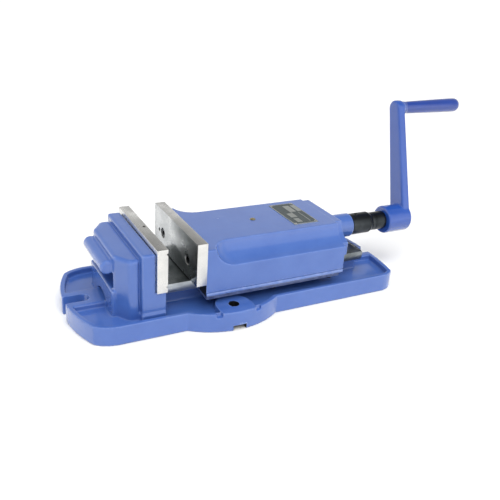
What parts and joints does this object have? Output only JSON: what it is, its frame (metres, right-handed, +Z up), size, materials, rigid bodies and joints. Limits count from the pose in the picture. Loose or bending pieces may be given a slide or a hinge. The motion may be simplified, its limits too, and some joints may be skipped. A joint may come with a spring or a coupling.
{
  "type": "machine vise",
  "caption": "Long-body machine vise: tray base with round bolting flange, steel jaw plates, covered sliding jaw moved by a spindle with an angled crank and turning grip.",
  "frame": {"origin": "centre of the round mounting flange, on the underside of the base", "axes": "+X from the jaws towards the crank, along the spindle; +Y across the jaws; +Z up"},
  "size_m": [0.6396, 0.21, 0.2416],
  "materials": {
    "blue_enamel": "gloss enamel on cast iron",
    "crank_enamel": "gloss enamel on cast iron, slightly deeper blue",
    "ground_steel": "surface ground hardened steel",
    "way_steel": "dark ground steel, oiled",
    "black_oxide": "black oxide",
    "turned_steel": "turned steel, oiled",
    "bronze": "machined bronze",
    "brass": "turned brass",
    "plate_black": "black printed aluminium",
    "rivet_steel": "bright"
  },
  "bodies": {
    "base": {"base_casting": "blue_enamel", "slideway": "way_steel", "slideway_screws": "black_oxide", "fixed_jaw_plate": "ground_steel", "fixed_plate_screws": "black_oxide", "spindle_nut": "bronze", "nut_screws": "black_oxide"},
    "movable_jaw": {"movable_jaw": "blue_enamel", "movable_jaw_plate": "ground_steel", "movable_plate_screws": "black_oxide", "oil_plug": "brass", "nameplate": "plate_black", "nameplate_rivets": "rivet_steel", "front_retaining_strip": "blue_enamel", "back_retaining_strip": "blue_enamel", "retaining_screws": "black_oxide", "rear_cover": "blue_enamel", "cover_screws": "black_oxide", "inner_thrust_washer": "bronze", "outer_thrust_washer": "bronze"},
    "spindle": {"spindle": "turned_steel", "inner_collar": "turned_steel", "inner_collar_pin": "turned_steel", "outer_collar": "black_oxide", "outer_collar_screw": "black_oxide", "spindle_sleeve": "black_oxide", "crank": "crank_enamel", "crank_lock_screw": "black_oxide", "crank_end_washer": "turned_steel", "crank_end_bolt": "black_oxide", "grip_pin": "turned_steel", "grip_washer": "turned_steel"},
    "grip": {"grip": "crank_enamel"}
  },
  "joints": [
    {"name": "jaw_slide", "type": "slide", "parent": "base", "child": "movable_jaw", "axis": [1, 0, 0], "range_m": [-0.0366, 0.0891]},
    {"name": "spindle_turn", "type": "hinge", "parent": "movable_jaw", "child": "spindle", "pos_m": [0.2, 0, 0.071], "axis": [1, 0, 0], "range_deg": [-2630, 6408]},
    {"name": "grip_turn", "type": "hinge", "parent": "spindle", "child": "grip", "pos_m": [0.35, 0.04562, 0.23009], "axis": [1, 0, 0], "continuous": true}
  ],
  "couplings": [
    {"joint": "jaw_slide", "follows": "spindle_turn", "m_per_rad": 0.00079577}
  ]
}
